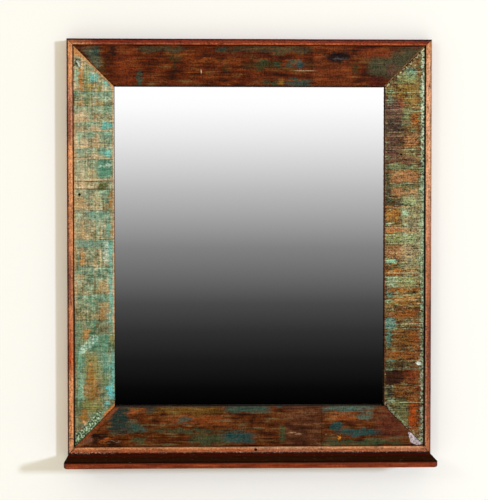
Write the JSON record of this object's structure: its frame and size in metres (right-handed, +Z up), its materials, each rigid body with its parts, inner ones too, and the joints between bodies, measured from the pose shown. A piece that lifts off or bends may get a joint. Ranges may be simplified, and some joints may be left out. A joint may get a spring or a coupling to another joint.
{
  "type": "wall mirror with shelf",
  "caption": "Wall mirror in a wide mitred frame of reclaimed painted boards, with smooth edge strips and a thin shelf along its lower edge, hung on flush keyhole plates.",
  "frame": {"origin": "on the wall, midway between the two hanging holes", "axes": "+Z up, +X to the right seen from the front, +Y into the wall; the mirror faces -Y"},
  "size_m": [0.69, 0.115, 0.798],
  "materials": {
    "dark_painted_board": "reclaimed board, dark red-brown lacquer worn through, with remains of grey-green and teal paint",
    "ochre_painted_board": "reclaimed board, ochre wood with saw marks and remains of turquoise paint",
    "rust_painted_board": "reclaimed board, rust and olive wood with saw marks and remains of seafoam paint",
    "copper_brown_wood": "planed strip, satin copper-brown stain worn at the edges",
    "red_brown_wood": "planed board, satin red-brown stain with eased edges",
    "plain_rail_wood": "planed, unfinished",
    "plywood": "sanded, unfinished",
    "dowel_wood": "turned, unfinished",
    "silvered_glass": "float glass, silvered on the back",
    "bright_zinc": "bright zinc plate",
    "yellow_zinc": "yellow zinc plate",
    "dark_nail_steel": "dull steel wire"
  },
  "bodies": {
    "root": {"face_board_top": "dark_painted_board", "face_board_bottom": "dark_painted_board", "face_board_left": "ochre_painted_board", "face_board_right": "rust_painted_board", "edge_strip_top": "copper_brown_wood", "edge_strip_bottom": "copper_brown_wood", "edge_strip_left": "copper_brown_wood", "edge_strip_right": "copper_brown_wood", "mirror_glass": "silvered_glass", "back_panel": "plywood", "shelf_board": "red_brown_wood", "rail_top": "plain_rail_wood", "rail_bottom": "plain_rail_wood", "rail_left": "plain_rail_wood", "rail_right": "plain_rail_wood", "hanging_plate_left": "bright_zinc", "hanging_plate_right": "bright_zinc", "face_board_screws": "yellow_zinc", "back_panel_screws": "bright_zinc", "shelf_screws": "yellow_zinc", "hanging_plate_screws": "bright_zinc", "edge_strip_nails": "dark_nail_steel", "rail_dowels": "dowel_wood"}
  },
  "joints": []
}
